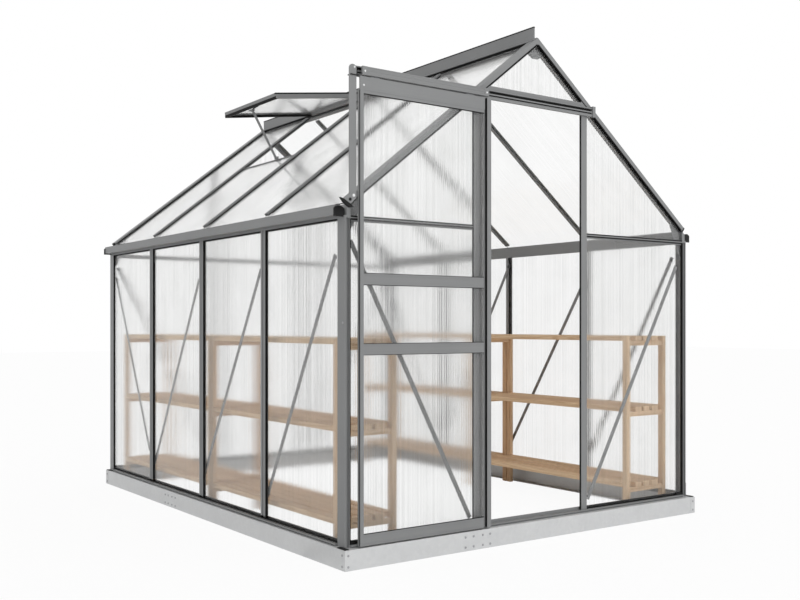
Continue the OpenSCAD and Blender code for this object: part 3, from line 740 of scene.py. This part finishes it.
def support_bracket():
    """Plate that ties the support post's foot to the rafter, with black clips and bright screws.

    Its places are (x, z) across the gable, given from the post's foot or from the track's end.
    """
    foot = box_mm("track_support_post")[0]
    track_end = box_mm("door_track")[0]

    def about(corner, *places):
        return [(corner.x + x, corner.z + z) for x, z in places]

    front, back = foot.y - 4, foot.y - 0.2
    plate = Shape()
    plate.prism(about(foot, (-24, -3), (6, 21), (26, 1), (4, -20)), "Y", front, back)
    plate.finish("post_foot_plate", coat_up, "greenhouse", "grey_frame")
    clip = Shape()
    clip.prism(about(foot, (-39, 1), (-24, -4), (4, -21), (15, -30), (1, -33), (-21, -19)),
               "Y", foot.y - 5, foot.y + 8)
    clip.turned([(6, 0), (6, 1), (4, 1.4)], (foot.x + 1, front, foot.z - 4), (0, -1, 0))
    clip.prism(about(track_end, *rectangle((-17, 16), (-2.5, 0.8))),
               "Y", track_end.y - 17, track_end.y + 5)
    clip.prism(about(track_end, *rectangle((10.5, 22), (3, 33.5))),
               "Y", track_end.y + 2, track_end.y + 12.5)
    clip.finish("post_clips", plastic, "greenhouse", "black_plastic")
    screw = Shape()
    screw.turned(dome(5.6, 2.2), (foot.x + 16, front, foot.z + 11), (0, -1, 0))
    screw.turned(dome(3.8, 2), (foot.x + 22, foot.y, track_end.z + 27), (0, -1, 0))
    screw.finish("post_screws", bright_zinc, "greenhouse", "roller_metal")


def corner_clips():
    """Black clips at the feet of the right-hand posts, and a screw two thirds up each post."""
    clip = Shape((to_right, to_rear_right))
    clip.board(Vector((side_plane - 4, front_plane + 1, base_h + 3)),
               Vector((side_plane, front_plane + 15, base_h + 62)), 1)
    clip.finish("corner_foot_clips", plastic, "greenhouse", "black_plastic")
    screw = Shape(ALL_FOUR)
    screw_z = 880
    screw.turned(dome(4.6, 2.4), (side_plane, front_plane + 12, screw_z), (-1, 0, 0))
    screw.finish("corner_post_screws", zinc, "greenhouse", "roller_metal")


def track_channel_shade():
    """Black strips along the back of the open track and along its ledge: painted shade inside the
    track's channel.
    """
    shade_strips = Shape()
    low, high = box_mm("door_track")
    end_plate = 16
    # painted shade: black strips where the channel's back wall and ledge lie in shade
    for y, z in (((12.5, 13), (23.3, 33.8)), ((7, 7.4), (13.4, 17.6))):
        shade_strips.prism([(low.y + a, low.z + b) for a, b in rectangle(y, z)],
                     "X", low.x + 2, high.x - end_plate - 2)
    shade_strips.finish("track_channel_shade", rubber, "greenhouse", "black_plastic")


def corner_shade_and_blocks():
    """Black sheets on the base outside the corner posts, which stand for the shade in the base's
    open corners (painted shade), and blocks beside the posts' feet.
    """
    shade_and_block = Shape(BASE_CORNERS)
    # painted shade: a black sheet on each corner of the base, where its open profile lies in
    # shade
    shade_and_block.board(Vector((2, 5, base_h)), Vector((side_plane - 0.2, 59, base_h + 3)), 1)
    shade_and_block.copies = ALL_FOUR
    start, near = side_plane + post_front + 0.2, front_plane + 2
    shade_and_block.board(Vector((start, near, base_h)), Vector((84, near + 20, base_h + 22)), 2)
    shade_and_block.finish("corner_shade_and_blocks", plastic, "greenhouse", "black_plastic")


# ---- staging ----

def staging():
    """Boards in place of the frame's posts and cross rails, and slats in place of its shelves."""
    posts = Shape()
    for low, high in solid_boxes("staging_posts"):
        posts.board(low, high, 2.2)
    made = posts.finish("staging_post_boards", pine_up, "greenhouse", "pine")
    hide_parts("staging_posts")
    rails = Shape()
    for low, high in solid_boxes("staging_rails"):
        rails.board(low, high, 1.6)
    made = rails.finish("staging_rail_boards", pine_across, "greenhouse", "pine")
    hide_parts("staging_rails")
    slats = Shape()
    count, gap = 5, 12
    past_post = 30.2                       # the outer slats stop short of the posts
    for low, high in solid_boxes("staging_shelves"):
        width = (high.x - low.x - gap * (count - 1)) / count
        for i in range(count):
            start, end = low.copy(), high.copy()
            start.x = low.x + i * (width + gap)
            end.x = start.x + width
            if i in (0, count - 1):
                start.y += past_post
                end.y -= past_post
            slats.board(start, end, 3.2)
    made = slats.finish("staging_slats", pine_along, "greenhouse", "pine")
    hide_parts("staging_shelves")


# ---- sliding door ----

def door_seals():
    """Brush and rubber strips down the door's stiles and along its rails."""
    seal = Shape()
    low, high = box_mm("door_stiles")
    front = low.y
    left_face, right_face = 15, 20         # widths of the two stiles' faces
    inner = high.x - right_face
    for x, y, from_top in (((inner - 1.5, inner), (1.5, 11), 2),
                           ((low.x - 0.8, low.x + 1), (1.5, 5), 50),
                           ((high.x - 0.4, high.x + 1.6), (2, 17), 2)):
        seal.prism(rectangle(x, (front + y[0], front + y[1])),
                   "Z", low.z + 2, high.z - from_top)
    start = low.x + left_face
    for rail_low, rail_high in solid_boxes("door_rails"):
        for z in (rail_low.z - 2, rail_high.z):
            if z > low.z:
                seal.prism(rectangle((front + 1.5, front + 7), (z, z + 2)),
                           "X", start, rail_high.x)
    foot = box_mm("door_top_plate")[0].z
    seal.prism(rectangle((front, front + 7), (foot - 2.2, foot)),
               "X", start, box_mm("door_rails")[1].x)
    seal.finish("door_seals", rubber, "sliding_door", "black_plastic")


def door_screws():
    """Bright screws on the cover's end pieces and on the top plate."""
    screw = Shape()
    cover_low, cover_high = box_mm("door_top_cover")
    plate = box_mm("door_top_plate")[0]
    head = dome(3.8, 1.6)
    for x in (cover_low.x + 11, cover_high.x - 11):
        screw.turned(head, (x, cover_low.y, cover_low.z + 14), (0, -1, 0))
    screw.turned(head, (plate.x + 16, plate.y + 1, plate.z + 30), (0, -1, 0))
    screw.finish("door_screws", bright_zinc, "sliding_door", "roller_metal")


# ---- studio ----

AMBIENT = 0.78                             # even light on the object, where plain white is 1
FLOOR_WHITE = 0.93                         # share of the seen floor that is plain white


def studio_floor():
    """Pale floor that shows nearly white and still keeps a faint shadow."""
    floor = Finish("studio_floor")
    cloud = floor.noise(900, detail=1)
    lit = floor.principled(
        Base_Color=floor.between(cloud, rgb(244, 244, 244), rgb(247, 247, 247)),
        Roughness=0.9)
    glow = floor.node("ShaderNodeEmission", sockets={"Strength": 1.0})
    seen = floor.ray("Camera") + floor.ray("Glossy") + floor.ray("Transmission")
    floor.close(floor.node("ShaderNodeMixShader", sockets={
        0: seen * FLOOR_WHITE, 1: lit, 2: glow}))
    reach = 30
    mesh = bpy.data.meshes.new("studio_floor")
    mesh.from_pydata([(x, y, 0) for x, y in rectangle((-reach, reach), (-reach, reach))], [],
                     [(0, 1, 2, 3)])
    mesh.materials.append(floor.material)
    made = bpy.data.objects.new("studio_floor", mesh)
    bpy.context.scene.collection.objects.link(made)


def studio_world():
    """White behind everything, and a plain even light on the object."""
    world = bpy.data.worlds.new("studio")
    bpy.context.scene.world = world
    sky = NodeSet(world)
    seen = sky.ray("Camera").or_more(sky.ray("Glossy").or_more(sky.ray("Transmission")))
    background = sky.node("ShaderNodeBackground", sockets={
        "Color": (1, 1, 1, 1), "Strength": AMBIENT + (1 - AMBIENT) * seen})
    sky.node("ShaderNodeOutputWorld", sockets={"Surface": background})


def soft_lamp(name, place, aim, size, power):
    data = bpy.data.lights.new(name, "AREA")
    data.shape = "RECTANGLE"
    data.size, data.size_y = size
    data.energy = power
    lamp = bpy.data.objects.new(name, data)
    lamp.location = place
    lamp.rotation_euler = (Vector(aim) - Vector(place)).to_track_quat("-Z", "Y").to_euler()
    bpy.context.scene.collection.objects.link(lamp)


def studio_camera():
    data = bpy.data.cameras.new("camera")
    data.lens = 45.507
    data.sensor_width = 36
    data.shift_x = -0.0473
    data.shift_y = 0.0320
    camera = bpy.data.objects.new("camera", data)
    camera.location = (-2.8211, -4.3109, 0.8698)
    camera.rotation_euler = (math.radians(90), 0, math.radians(-36.739))
    bpy.context.scene.collection.objects.link(camera)
    bpy.context.scene.camera = camera


wall_seals()
post_seals()
gable_bar_seals()
sill_seals()
roof_seals_and_shade()
eave_seals()
base_bolts()
brace_bolts()
rafter_foot_caps()
support_bracket()
corner_clips()
track_channel_shade()
ridge_bead()
vent_seals()
stay_hook()
corner_shade_and_blocks()
staging()
door_seals()
door_screws()

studio_floor()
studio_world()
soft_lamp("front_light", (1.5, -6.5, 3.5), (0, 0, 1), (5, 3.5), 58)
soft_lamp("low_fill", (-0.5, -5.5, 0.5), (0.6, 0, 1.6), (4, 0.8), 20)
studio_camera()
bpy.context.scene.view_settings.view_transform = "Standard"
